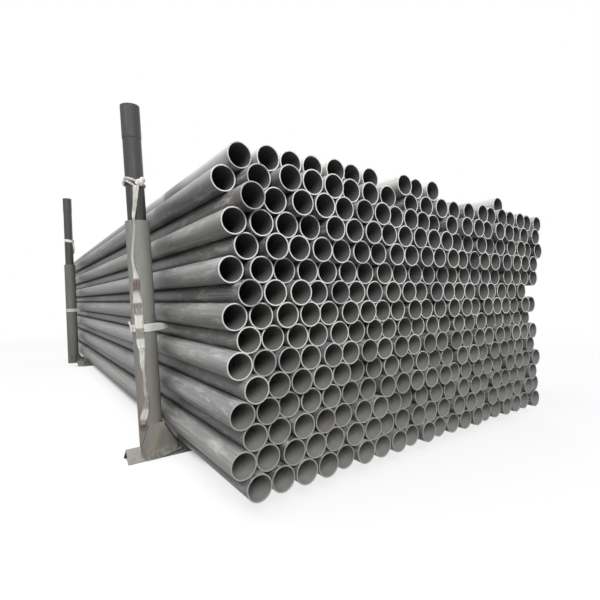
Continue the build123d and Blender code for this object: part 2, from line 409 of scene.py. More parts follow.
def read_row(name, pitch):
    """Axis place, mouth and far end of each tube in a row, and the two radii.

    A corner belongs to the tube whose axis is nearest. The outer radius is what is
    left of the row's width past the outermost axes, the bore's is the least
    distance of a corner from its axis."""
    points = corners(name)
    low, high = points.min(axis=0), points.max(axis=0)
    gaps = round((high[0] - low[0]) / pitch) - 1
    outer = (high[0] - low[0] - gaps * pitch) / 2
    slot = np.round((points[:, 0] - low[0] - outer) / pitch).astype(int)
    used = np.unique(slot)
    x = low[0] + outer + used * pitch
    z = (low[2] + high[2]) / 2
    mouth = np.array([points[slot == one, 1].min() for one in used])
    end = np.array([points[slot == one, 1].max() for one in used])
    across = points[:, 0] - (low[0] + outer + slot * pitch)
    inner = np.hypot(across, points[:, 2] - z).min()
    return x, z, mouth, end, outer, inner


def tube_row_mesh(x, z, mouth, end, outer, inner, edge, sides):
    """Points, quads, material numbers and places on the tubes of one row.

    Each tube is a closed profile turned about its axis: a point lies at the axis plus
    radius times (cos, sin) of its angle, over the profile's eight corners, which are
    the two ends of the skin and of the bore with a slant of one edge at each cut."""
    radii = np.array([outer, outer - edge, inner + edge, inner, inner, inner + edge, outer - edge, outer])
    inset = np.array([edge, 0, 0, edge, -edge, 0, 0, -edge])
    at_far = np.array([0, 0, 0, 0, 1, 1, 1, 1])
    kinds = np.array([CUT, CUT, CUT, BORE, CUT, CUT, CUT, SKIN])
    shape = (len(x), len(radii), sides)
    y = mouth[:, None] + (end - mouth)[:, None] * at_far + inset
    turn = np.linspace(0, tau, sides, endpoint=False)
    spokes = np.multiply.outer(radii, (np.cos(turn), np.sin(turn)))
    places = (x[:, None, None] + spokes[:, 0], y[:, :, None], z + spokes[:, 1])
    points = np.stack([np.broadcast_to(values, shape) for values in places], axis=-1)
    tube, part, side = np.indices(shape)
    after, beside = (part + 1) % len(radii), (side + 1) % sides
    index = (tube * len(radii) + part) * sides
    index_after = (tube * len(radii) + after) * sides
    quads = np.stack((index + side, index + beside, index_after + beside, index_after + side), axis=-1)
    along = y - mouth[:, None]
    v = np.stack((along[tube, part], along[tube, part], along[tube, after], along[tube, after]), axis=-1)
    u = np.stack((side, side + 1, side + 1, side), axis=-1) / sides
    return points, quads.reshape(-1, 4), kinds[part], u, v


def shaded(paint, factor):
    """A colour made darker or paler."""
    return [min(1, part * factor) for part in paint]


def tube_skin(look):
    """Mill scale in long streaks, thin rust and blueing, a seam line and chalky ends. The
    upper rows are made paler as painted light, most at the viewed end. Painted shade darkens
    the sides of the rows that lie inset, and a painted shadow the stretch beside the posts."""
    finish = Finish("tube_skin")
    tone, hue = finish.attribute("tone"), finish.attribute("hue")
    round_tube, along = finish.axes("XY", finish.own_map())
    across, run, height = finish.axes()
    outward = across.apart(0.0)
    widest, inset = (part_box(row)[1][0] for row in (ROWS[1], ROWS[0]))
    streaks = finish.noise(1, (70, 1.3, 70), detail=5, rough=0.6)
    cloud = finish.noise(1, (9, 1.6, 9), detail=4, bend=0.4)
    fine = finish.noise(1, (420, 9, 420), detail=3)
    chalk = finish.noise(1, (30, 5, 30), detail=6, rough=0.72, bend=0.3)
    finish.start((0.55 * tone + 0.45 * cloud).fade(0.25, 0.75), look.skin_dark, look.skin)
    finish.coat(look.warm, hue.fade(0.55, 1) * cloud.fade(0.45, 0.65) * 0.45)
    finish.coat(look.cool, hue.fade(0.45, 0) * cloud.fade(0.4, 0.6) * 0.7)
    finish.coat(look.skin_pale, streaks.fade(0.52, 0.78) * 0.75)
    finish.coat(look.skin_dark, streaks.fade(0.46, 0.3) * 0.6)
    # Painted light: the upper rows go paler, most at the viewed end
    upper_rows = height.fade(1.33, 1.57)
    viewed_end = run.fade(-0.9, -2.4)
    finish.coat(look.bleached, upper_rows * (0.4 + 0.5 * viewed_end))
    # Painted shade: darkens the sides of the inset rows and the parts of the wider rows that lie in under
    # them, below the top rows
    painted_recess_shade = outward.fade(widest - 0.027, inset - 0.012) * height.fade(1.46, 1.36)
    finish.coat(look.skin_dark, painted_recess_shade * 0.42)
    for place in PLACES:
        low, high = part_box(f"{place}_base_angle")
        ahead = (low[1] + high[1]) / 2 - run
        # Painted shadow of each post on the tubes' sides, most on the near side of the post
        painted_post_shadow = ahead.within(-0.12, 0.42, 0.06, 0.35) * outward.fade(inset - 0.12, inset)
        finish.coat(look.skin_dark, painted_post_shadow * 0.75)
    near_mouth = along.fade(1.3, 0.03)
    finish.coat(look.skin_pale, chalk.fade(0.48, 0.68) * near_mouth * 0.75)
    finish.coat(look.skin_dark, run.fade(-2.2, 1.2) * 0.12)
    seam = round_tube.apart(0.5).fade(0.02, 0.006)
    finish.coat(look.cool, seam * 0.35)
    rough = 0.28 + 0.22 * cloud + 0.1 * streaks
    return finish.done(streaks + 0.4 * fine, 0.0006, 0.5, Roughness=rough, Specular_IOR_Level=0.35)


def tube_cut(look):
    """Sawn end: bright metal with fine scores, dull in patches and in the lower rows."""
    finish = Finish("tube_cut")
    tone = finish.attribute("tone")
    patch = finish.noise(13, detail=3)
    score = finish.noise(1, (500, 500, 90), detail=2)
    lower_rows = (finish.axes("Z")[0] + 0.3 * tone).fade(1.1, 0.5)
    finish.start(lower_rows * 0.88, look.cut, look.cut_dull)
    finish.coat(look.cut_dull, (0.6 * patch + 0.4 * tone).fade(0.43, 0.26) * 0.8)
    return finish.done(score, 0.0003, 0.4, Roughness=0.34 + 0.2 * patch)


def tube_bore(look):
    """Bore: oiled scale, lighter towards the lower rows as painted light, and lighter also towards
    the right-hand side and where dusty and dry at random, with the weld's inner line."""
    finish = Finish("tube_bore")
    tone = finish.attribute("tone")
    round_tube, along = finish.axes("XY", finish.own_map())
    across, height = finish.axes("XZ")
    cloud = finish.noise(1, (16, 5, 16), detail=5, rough=0.6)
    streaks = finish.noise(1, (90, 3, 90), detail=3)
    # Painted light: the bore goes lighter towards the lower rows; it also goes lighter to the right and at
    # random with the tube's tone and a cloud
    painted_light_and_tone = 0.81 - 0.72 * height + 0.1 * across + 0.25 * tone + 0.3 * (cloud - 0.5)
    seam = round_tube.apart(0.5).fade(0.016, 0.006)
    finish.start(painted_light_and_tone.fade(-0.1, 1.0), look.bore_dark, look.bore)
    finish.coat(look.skin, streaks.fade(0.55, 0.75) * 0.3)
    finish.coat(look.skin, along.fade(0.06, 0.0) * 0.3)
    finish.coat(look.skin, seam * tone.fade(0.35, 0.9) * 0.3)
    return finish.done(streaks + 0.3 * cloud + 0.4 * seam, 0.001, 0.5, Metallic=0.1, Roughness=0.6)


def worn_paint(name, paint, look, wear, zones=(), marks=()):
    """Old paint: patches of tone, dust run down in streaks, rust in spots and at the foot.

    wear gives the strength of the spots, of the rust at the foot and of the streaks.
    zones give a colour, the height at which it starts, the height at which it is full
    and its strength. marks give the place and the size of single rust marks."""
    finish = Finish(name)
    rust_spots, rust_foot, dust_streaks = wear
    height = finish.axes("Z")[0]
    patch = finish.noise(7, (1, 1, 0.4), detail=5, rough=0.6)
    runs = finish.noise(1, (60, 60, 3), detail=4, rough=0.6)
    grit = finish.noise(190, detail=4, rough=0.7)
    spots = finish.noise(34, detail=6, rough=0.72, bend=0.8)
    finish.start(patch.fade(0.3, 0.7), shaded(paint, 0.86), shaded(paint, 1.14))
    for zone, start, full, strength in zones:
        finish.coat(zone, (height + 0.12 * patch - 0.06).fade(start, full) * strength)
    finish.coat(look.dust, runs.fade(0.5, 0.75) * dust_streaks)
    finish.coat(shaded(paint, 0.6), grit.fade(0.55, 0.8) * 0.35)
    rust = spots.fade(0.6, 0.68) * patch.fade(0.45, 0.6) * rust_spots
    rust = rust + height.fade(0.32, 0.02) * spots.fade(0.4, 0.62) * rust_foot
    for place, size in marks:
        rust = rust + finish.near(place, size) * grit.fade(0.4, 0.6) * 0.8
    rust = rust.at_most(1)
    finish.coat(look.rust, rust)
    rough = (0.5 + 0.3 * patch + 0.2 * rust).at_most(1)
    return finish.done(0.5 * grit + 0.6 * runs + rust, 0.0012, 0.45, Roughness=rough)


def angle_paint(node, look):
    """Base angle: worn paint outside with earth on it, and painted shade inside, under its ridge.
    How deep a point lies is the ridge's height less its own height and its distance from the ridge line."""
    finish = Finish(f"{node}_paint")
    points = corners(node)
    middle = (points[:, 1].min() + points[:, 1].max()) / 2
    along, height = finish.axes("YZ")
    deep = float(points[:, 2].max()) - along.apart(float(middle)) - height
    patch = finish.noise(9, detail=5, rough=0.6)
    spots = finish.noise(40, detail=6, rough=0.72, bend=0.8)
    specks = finish.noise(150, detail=4, rough=0.7)
    finish.start(patch.fade(0.3, 0.7), shaded(look.angle, 0.88), shaded(look.angle, 1.1))
    finish.coat(look.soil_brown, spots.fade(0.5, 0.66) * 0.6)
    finish.coat(look.crevice, specks.fade(0.56, 0.68) * patch.fade(0.35, 0.55) * 0.5)
    finish.coat(look.dust, specks.fade(0.42, 0.3) * 0.5)
    finish.coat(look.rust, spots.fade(0.62, 0.7) * 0.6)
    # Painted shade inside the angle, under its ridge
    finish.coat(look.crevice, deep.fade(0.004, 0.009) * 0.95)
    return finish.done(0.6 * spots + patch, 0.0012, 0.45, Roughness=(0.5 + 0.3 * patch).at_most(1))


def plate_paint(look):
    """Foot plates: three stretches of tone counted from the outer edge, mauve, olive and
    dark, whose borders slant inwards by a third of the height. The dark one ends above
    the middle. Earth and pale crust lie low down, and painted shade darkens the outer lower corner."""
    finish = Finish("plate_paint")
    across, height = finish.axes("XZ")
    outward = across.apart(0.0)
    patch = finish.noise(16, (1, 1, 0.35), detail=5, rough=0.6)
    grit = finish.noise(170, detail=4, rough=0.7)
    crust = finish.noise(55, detail=5, rough=0.7)
    border = outward + 0.34 * height + 0.04 * patch - 0.06
    earth = (height.fade(0.09, 0.02) * crust.fade(0.52, 0.36)).at_most(1)
    finish.start(patch.fade(0.35, 0.7), shaded(look.plate, 0.9), shaded(look.plate, 1.12))
    finish.coat(look.olive, border.fade(1.36, 1.325) * 0.8)
    finish.coat(look.plate_grey, border.fade(1.318, 1.285) * height.fade(0.2, 0.15) * 0.85)
    finish.coat(look.dust, grit.fade(0.5, 0.7) * 0.45)
    finish.coat(look.dust, height.fade(0.085, 0.05) * crust.fade(0.42, 0.6) * 0.7)
    # Painted shade in the plate's outer lower corner
    finish.coat(look.crevice, outward.fade(1.355, 1.4) * height.fade(0.1, 0.06) * 0.5)
    finish.coat(look.soil_brown, earth * 0.8)
    return finish.done(0.4 * grit + earth, 0.001, 0.35, Roughness=(0.5 + 0.3 * patch).at_most(1))


def seam_dirt(look):
    """Upright seams and plate edge beads: weld metal under dark paint and dirt, bare in spots, whose dark is
    also painted shade for the gaps beside the plates.
    """
    finish = Finish("seam_dirt")
    grit = finish.noise(120, detail=4)
    finish.start(grit.fade(0.6, 0.72) * 0.5, look.crevice, look.bead)
    return finish.done(grit, 0.0008, 0.6, Roughness=0.75)


def weld_metal(look):
    """Weld beads: grey metal under patches of pale slag, with some rust."""
    finish = Finish("weld_metal")
    slag = finish.noise(160, detail=4)
    rust = finish.noise(60, detail=5)
    finish.start(slag.fade(0.48, 0.62), shaded(look.bead, 0.5), look.bead)
    finish.coat(look.rust, rust.fade(0.6, 0.7) * 0.6)
    return finish.done(slag, 0.0008, 0.6, Roughness=0.6, Metallic=0.3)


def strip_cloth(look):
    """Woven cloth: threads both ways on the strip's own map, brown and green soil where
    the strip's attributes put them, in blotches drawn out along the strip."""
    finish = Finish("strip_cloth")
    uv = finish.own_map()
    brown, green = finish.attribute("brown"), finish.attribute("green")
    weave = {"Vector": uv, "Scale": 210.0, "Distortion": 0.6, "Detail": 1.0}
    threads = [finish.node("ShaderNodeTexWave", {"bands_direction": way}, weave, out="Fac") for way in "XY"]
    strands = finish.node("ShaderNodeMapping", None, {"Vector": uv, "Scale": (420, 14, 1)})
    strands = finish.node("ShaderNodeTexNoise", None, {"Vector": strands, "Scale": 1.0, "Detail": 3.0})
    blotch = finish.noise(60, (1, 1, 0.35), detail=6, rough=0.66)
    stain = finish.noise(44, (1, 1, 0.5), detail=5, rough=0.7, bend=0.5)
    finish.start(blotch.fade(0.55, 0.85) * 0.25, look.cloth, look.moss)
    finish.coat(look.moss, (green * stain.fade(0.28, 0.52) * 1.1).at_most(1))
    finish.coat(look.soil, (brown * (0.45 + 0.75 * strands.fade(0.36, 0.54))).at_most(1))
    relief = threads[0] * 0.5 + threads[1] * 0.5 + blotch
    return finish.done(relief, 0.0007, 0.7, Roughness=0.85, Sheen_Weight=0.15)


def material(name, maker, *more):
    """A material by name, made the first time that it is asked for."""
    return bpy.data.materials.get(name) or maker(*more)


class Post:
    """A leaning post's own frame: its axis, and the directions across and along the tubes.

    The foot and the head of the axis are the middles of the stake's lowest and highest
    rings. Heights are measured along the axis from the ridge of the base angle."""

    # Thickness of the slice that counts as a pipe's end ring
    ring = 0.006

    def __init__(self, place, hand):
        self.place = place
        self.name = f"{place}_{hand}"
        self.inward = 1 if hand == "left" else -1
        points = corners(f"{self.name}_stake")
        z = points[:, 2]
        foot = points[z < z.min() + self.ring].mean(axis=0)
        head = points[z > z.max() - self.ring].mean(axis=0)
        self.up = (head - foot) / np.linalg.norm(head - foot)
        self.across = np.cross((0.0, 1.0, 0.0), self.up)
        self.along = np.cross(self.up, self.across)
        ridge = corners(f"{place}_base_angle")[:, 2].max()
        self.base = foot + self.up * (ridge - foot[2]) / self.up[2]
        self.sleeve_radius = self.radius(f"{self.name}_sleeve")
        # Read below the swelling at the stake's head
        self.stake_radius = self.radius(f"{self.name}_stake", 0.5)

    def radius(self, node, below=1.0):
        """Outer radius of a pipe on this post, over the given lower share of its height."""
        points = corners(node)
        z = points[:, 2]
        points = points[z <= z.min() + below * (z.max() - z.min())]
        away = points - self.base
        return np.linalg.norm(away - np.outer(away @ self.up, self.up), axis=1).max()

    def heights(self, node):
        """Height of each corner of a node."""
        return (corners(node) - self.base) @ self.up

    def middle(self, node):
        """Height half way up a node."""
        heights = self.heights(node)
        return (heights.max() + heights.min()) / 2

    def points(self, x, y, height):
        """Places from the post's own across, along and up coordinates."""
        sideways = np.multiply.outer(x, self.across) + np.multiply.outer(y, self.along)
        return self.base + sideways + np.multiply.outer(height, self.up)

    def around(self, turn, radius, height):
        """Places from an angle in degrees, 0 across to +X and -90 towards the viewed ends."""
        turn = np.radians(turn)
        return self.points(radius * np.cos(turn), radius * np.sin(turn), height)


def closed_tube(centres, side, up, reach):
    """A blunt skin round a spine: each ring is the centre plus reach times (cos, sin).

    reach has one row for each centre and one column for each flat. The first and the
    last ring close on a pole."""
    rings, flats = reach.shape
    turn = np.linspace(0, tau, flats, endpoint=False)
    spokes = np.multiply.outer(np.cos(turn), side) + np.multiply.outer(np.sin(turn), up)
    body = centres[:, None, :] + reach[:, :, None] * spokes[None, :, :]
    points = np.vstack((body.reshape(-1, 3), centres[0], centres[-1]))
    column = np.arange(flats)
    beside = (column + 1) % flats
    pole = rings * flats
    last_ring = pole - flats
    first = np.stack((beside, column, np.full(flats, pole)), axis=-1)
    last = np.stack((last_ring + column, last_ring + beside, np.full(flats, pole + 1)), axis=-1)
    return points, grid_faces(rings, flats, closed=True).tolist() + first.tolist() + last.tolist()


def face_out(piece):
    """Turns a closed piece's faces outwards."""
    shape = bmesh.new()
    shape.from_mesh(piece.data)
    bmesh.ops.recalc_face_normals(shape, faces=shape.faces)
    shape.to_mesh(piece.data)
    shape.free()


def weld_bead(name, start, stop, radius, metal):
    """A bead from start to stop. Its radius swells and sinks in even ripples, each a
    little longer than the radius, and closes as the square root towards both ends. Its
    middle sways from side to side as a sine."""
    start, stop = np.array(start), np.array(stop)
    run = stop - start
    long = np.linalg.norm(run)
    ripples = max(4, round(long / (1.1 * radius)))
    share_along = np.linspace(0, 1, 4 * ripples + 1)
    ends = np.sqrt(np.clip(np.minimum(share_along, 1 - share_along) * long / radius, 0.02, 1))
    swell = 1 + 0.13 * np.cos(tau * ripples * share_along)
    sway = 0.12 * radius * np.sin(tau * 1.7 * ripples * share_along)
    forward = run / long
    side = np.cross(forward, (0.3, -0.9, 0.3))
    side /= np.linalg.norm(side)
    centres = start + np.multiply.outer(share_along, run) + np.multiply.outer(sway, side)
    reach = np.multiply.outer(radius * ends * swell, np.ones(10))
    points, faces = closed_tube(centres, side, np.cross(side, forward), reach)
    face_out(make_piece(name, points, faces, [metal], sharp=180))


def sheet_piece(name, points, width_map, run, soil, look, replaces=()):
    """A strip of cloth from a grid of points, length by width, with its thickness.

    The width map and the run give the strip's own flat places in metres, soil how brown
    and how green it is."""
    shape = points.shape[:2]
    flat = np.stack([np.broadcast_to(values, shape) for values in (width_map, run[:, None])], axis=-1)
    faces = grid_faces(*shape)
    uv = flat.reshape(-1, 2)[faces.ravel()]
    cloth = material("strip_cloth", strip_cloth, look)
    piece = make_piece(name, points, faces, [cloth], replaces, uv, sharp=180)
    point_values(piece, shape, brown=soil[0], green=soil[1])
    wall = piece.modifiers.new("cloth", "SOLIDIFY")
    wall.thickness = look.thickness
    wall.offset = 1
    return piece


def knot_piece(name, post, height, turn, lift, size, folds, seed, soil, look):
    """A pulled knot on a stake: a ball drawn out along the post whose skin is creased by
    folds that wind round it, like the turns of the cloth.

    The radius is that of the ball plus two cosine waves round it, one of the folds and
    one of three, whose phases shift from its foot to its head."""
    rng = np.random.default_rng(seed)
    across, deep, tall = size
    polar = np.linspace(0.06, np.pi - 0.06, 26)[:, None]
    spin = np.linspace(0, tau, 40, endpoint=False)
    crease = 1 + 0.2 * np.cos(folds * spin + 2.6 * np.cos(polar) + rng.uniform(0, tau))
    crease += 0.12 * np.cos(3 * spin - 4 * polar + rng.uniform(0, tau))
    radius = post.stake_radius + lift
    middle = post.around(turn, radius, height)
    out = post.around(turn, radius + 1, height) - middle
    side = np.cross(post.up, out)
    centres = middle - tall * np.cos(polar) * post.up
    points, faces = closed_tube(centres, side * across, out * deep, np.sin(polar) * crease)
    cloth = material("strip_cloth", strip_cloth, look)
    piece = make_piece(name, points, faces, [cloth], sharp=180)
    face_out(piece)
    piece.data.uv_layers.new(name="UVMap")
    point_values(piece, len(points), brown=soil[0], green=soil[1])
    return piece


def run_along(path):
    """Distance from a path's start at each of its points."""
    return np.concatenate(([0], np.cumsum(np.linalg.norm(np.diff(path, axis=0), axis=1))))


def pleats(across, shown, full, count):
    """How far a gathered strip stands out at each share of its width.

    The strip lies in count waves. Their height makes the cloth's length across stay
    full while only shown of it is seen: each half wave is the long side of a
    triangle on an equal share of the shown width."""
    half_waves = 2 * count
    rise = np.sqrt(np.maximum(full**2 - shown**2, 0)) / half_waves
    return np.multiply.outer(rise, 0.5 - 0.5 * np.cos(tau * count * across))


def gathered(post, across, turn, height, radius, shown, full, count, ripple=0.0):
    """Points of a gathered strip that lies along a post, one row for each height.

    A row is centred on its angle in degrees, spreads over the shown width at its
    radius, and stands out from there by its pleats and a ripple."""
    spread = np.degrees(np.multiply.outer(shown / radius, across - 0.5))
    reach = radius[:, None] + pleats(across, shown, full, count) + ripple
    return post.around(turn[:, None] + spread, reach, height[:, None])


def wrap_piece(name, post, radius, middle, tilt, shown, turns, look, replaces=()):
    """A turn of strip round a stake, folded in half and gathered, and its flat size.

    It runs from one angle to the other in degrees. Its height is the middle plus tilt
    times the cosine of the angle from 170 degrees, where it is highest."""
    folded = 0.5 * look.width
    turn = np.linspace(*turns, 120)
    across = np.linspace(0, 1, 17)
    stand = pleats(across, np.full(turn.shape, shown), folded, 2)
    height = middle + tilt * np.cos(np.radians(turn - 170))
    points = post.around(turn[:, None], radius + stand, height[:, None] + shown * (across - 0.5))
    run = np.radians(turn - turn[0]) * radius
    piece = sheet_piece(name, points, across * folded, run, CLEAN, look, replaces)
    return piece, (folded, float(run[-1]))


def smooth(stations, at):
    """Reads rows of (place, value, ...) at new places, along curves with no kinks.

    Between two rows a value is the cubic that starts and ends with the slopes which
    the rows around give it."""
    table = np.array(sorted(stations), float)
    place, values = table[:, 0], table[:, 1:]
    slope = np.gradient(values, place, axis=0)
    before = np.clip(np.searchsorted(place, at) - 1, 0, len(place) - 2)
    after = before + 1
    gap = (place[after] - place[before])[:, None]
    t = (at - place[before])[:, None] / gap
    start = values[before] * (1 + 2 * t) + slope[before] * gap * t
    stop = values[after] * (3 - 2 * t) + slope[after] * gap * (t - 1)
    return (start * (1 - t) ** 2 + stop * t**2).T


def look_at(thing, place, ahead, roll):
    """Places a lamp or camera that looks along ahead, rolled about that line.

    Its right is level, its top is right times ahead, and both turn by the roll."""
    ahead = np.array(ahead, float) / np.linalg.norm(ahead)
    level = np.cross(ahead, (0.0, 0.0, 1.0))
    level /= np.linalg.norm(level)
    above = np.cross(level, ahead)
    right = level * np.cos(roll) + above * np.sin(roll)
    top = above * np.cos(roll) - level * np.sin(roll)
    axes = np.eye(4)
    axes[:3, 0], axes[:3, 1], axes[:3, 2], axes[:3, 3] = right, top, -ahead, place
    thing.matrix_world = Matrix(axes.tolist())


class TUBES_OT_rows(bpy.types.Operator):
    """Draw the tubes of every row"""

    bl_idname = "tube_stack.rows"
    bl_label = "Tube rows"

    def execute(self, context):
        look = settings().tubes
        rng = np.random.default_rng(look.seed)
        finishes = [material(maker.__name__, maker, look) for maker in (tube_skin, tube_cut, tube_bore)]
        pitch = tube_pitch()
        for node in ROWS:
            row = read_row(node, pitch)
            points, quads, kinds, u, v = tube_row_mesh(*row, look.edge, look.sides)
            tubes = len(points)
            # Each tube's weld seam lies at its own place round it
            u = u + rng.uniform(0, 1, (tubes, 1, 1, 1))
            u = np.where(u.min(axis=-1, keepdims=True) >= 1, u - 1, u)
            uv = np.stack((u, v), axis=-1)
            shown = node.replace("tube_row", "tubes")
            piece = make_piece(shown, points, quads, finishes, [node], uv)
            piece.data.polygons.foreach_set("material_index", kinds.ravel().astype(np.int32))
            tone, hue = (rng.uniform(0, 1, (tubes, 1, 1)) for _ in range(2))
            point_values(piece, points.shape[:3], tone=tone, hue=hue)
        return {"FINISHED"}


class TUBES_OT_rack(bpy.types.Operator):
    """Paint the posts, base angles and foot plates, and add their weld beads"""

    bl_idname = "tube_stack.rack"
    bl_label = "Rack"

    # Rust marks on the near left sleeve: degrees round it, height, size
    marks = (
        (-48, 0.725, 0.02),
        (-50, 0.695, 0.026),
        (-47, 0.66, 0.02),
        (-136, 0.12, 0.036),
        (-152, 0.118, 0.034),
    )
    # Upright welds: height of their foot, and what their head's height is less than the
    # plate's own height above the floor
    upright_foot = 0.03
    upright_less = 0.1
    # Foot weld: how far it reaches outwards and inwards from the plate's inner edge
    foot_weld_out = 0.085
    foot_weld_in = 0.035
    # Thickness of the beads on the plate's edges and at its foot, in weld radii
    inner_bead = 1.3
    outer_bead = 0.7
    foot_bead = 2.5

    def execute(self, context):
        look = settings().rack
        post = Post("near", "left")
        marks = [(post.around(turn, post.sleeve_radius, height), size) for turn, height, size in self.marks]
        # Wear: rust in spots, rust at the foot, dust in streaks
        near_sleeve_wear = (0.25, 0.2, 0.3)
        far_sleeve_wear = (0.25, 0.2, 0.2)
        stake_wear = (0.4, 0.0, 0.14)
        plate_wear = (0.3, 0.0, 0.2)
        # Zones: colour, height at which it starts, height at which it is full, strength
        foot = [(look.sleeve_foot, 0.72, 0.42, 0.9)]
        worn = [(look.stake_worn, 1.42, 1.62, 0.7), (look.crevice, 1.34, 1.29, 0.8)]
        bare = [(look.angle, 0.11, 0.06, 0.85)]
        paints = {
            "near_sleeve": worn_paint("sleeve_paint", look.sleeve, look, near_sleeve_wear, foot, marks),
            # The far sleeves and far plates take darker paints as painted shade
            "far_sleeve": worn_paint("far_sleeve_paint", look.far_sleeve, look, far_sleeve_wear),
            "near_stake": worn_paint("stake_paint", look.stake, look, stake_wear, worn),
            "far_stake": worn_paint("far_stake_paint", look.far_stake, look, stake_wear),
            "near_angle": angle_paint("near_base_angle", look),
            "far_angle": angle_paint("far_base_angle", look),
            "near_gusset": plate_paint(look),
            "far_gusset": worn_paint("far_plate_paint", look.far_plate, look, plate_wear, bare),
        }
        for name, node in frame["nodes"].items():
            words = name.split("_")
            paint = paints.get(f"{words[0]}_{words[-1]}")
            if paint:
                node.data.materials.clear()
                node.data.materials.append(paint)
        metal = weld_metal(look)
        dirt = seam_dirt(look)
        for place in PLACES:
            for hand in HANDS:
                self.welds(Post(place, hand), look.bead_radius, metal, dirt)
        return {"FINISHED"}

    def welds(self, post, bead, metal, dirt):
        """Beads between a foot plate and its sleeve, along the plate's slanting edges, and
        between the plate's heel and the angle.

        The upright beads fill the wedge between the flat plate and the round sleeve:
        where the wedge is as wide as the bead."""
        plate = corners(f"{post.name}_gusset")
        low, high = plate.min(axis=0), plate.max(axis=0)
        back = high[1]
        middle = (low[1] + high[1]) / 2
        radius = post.sleeve_radius
        wedge = np.sqrt(radius**2 - (radius - 1.1 * bead) ** 2)
        # The upright and edge beads are dark: partly weld and dirt, partly painted shade for the gaps beside
        # the plate
        for number, side in enumerate((-1, 1), 1):
            start = post.points(side * wedge, 0.0, self.upright_foot)
            stop = post.points(side * wedge, 0.0, high[2] - self.upright_less)
            start[1] = stop[1] = back + 0.6 * bead
            weld_bead(f"{post.name}_post_weld_{number}", start, stop, bead, dirt)
        head = plate[plate[:, 2] > high[2] - ON_EDGE]
        sides = (("inner", post.inward, self.inner_bead), ("outer", -post.inward, self.outer_bead))
        for name, side, size in sides:
            edge = side * (side * plate[:, 0]).max()
            flank = plate[np.abs(plate[:, 0] - edge) < ON_EDGE, 2]
            start = (side * (side * head[:, 0]).max(), middle, high[2] - bead)
            stop = (edge, middle, flank.max())
            weld_bead(f"{post.name}_{name}_edge", start, stop, size * bead, dirt)
            if side == post.inward:
                start = (edge - side * self.foot_weld_out, middle, low[2] + 3.6 * bead)
                stop = (edge + side * self.foot_weld_in, back + bead, flank.min() + 2.1 * bead)
                weld_bead(f"{post.name}_foot_weld", start, stop, self.foot_bead * bead, metal)


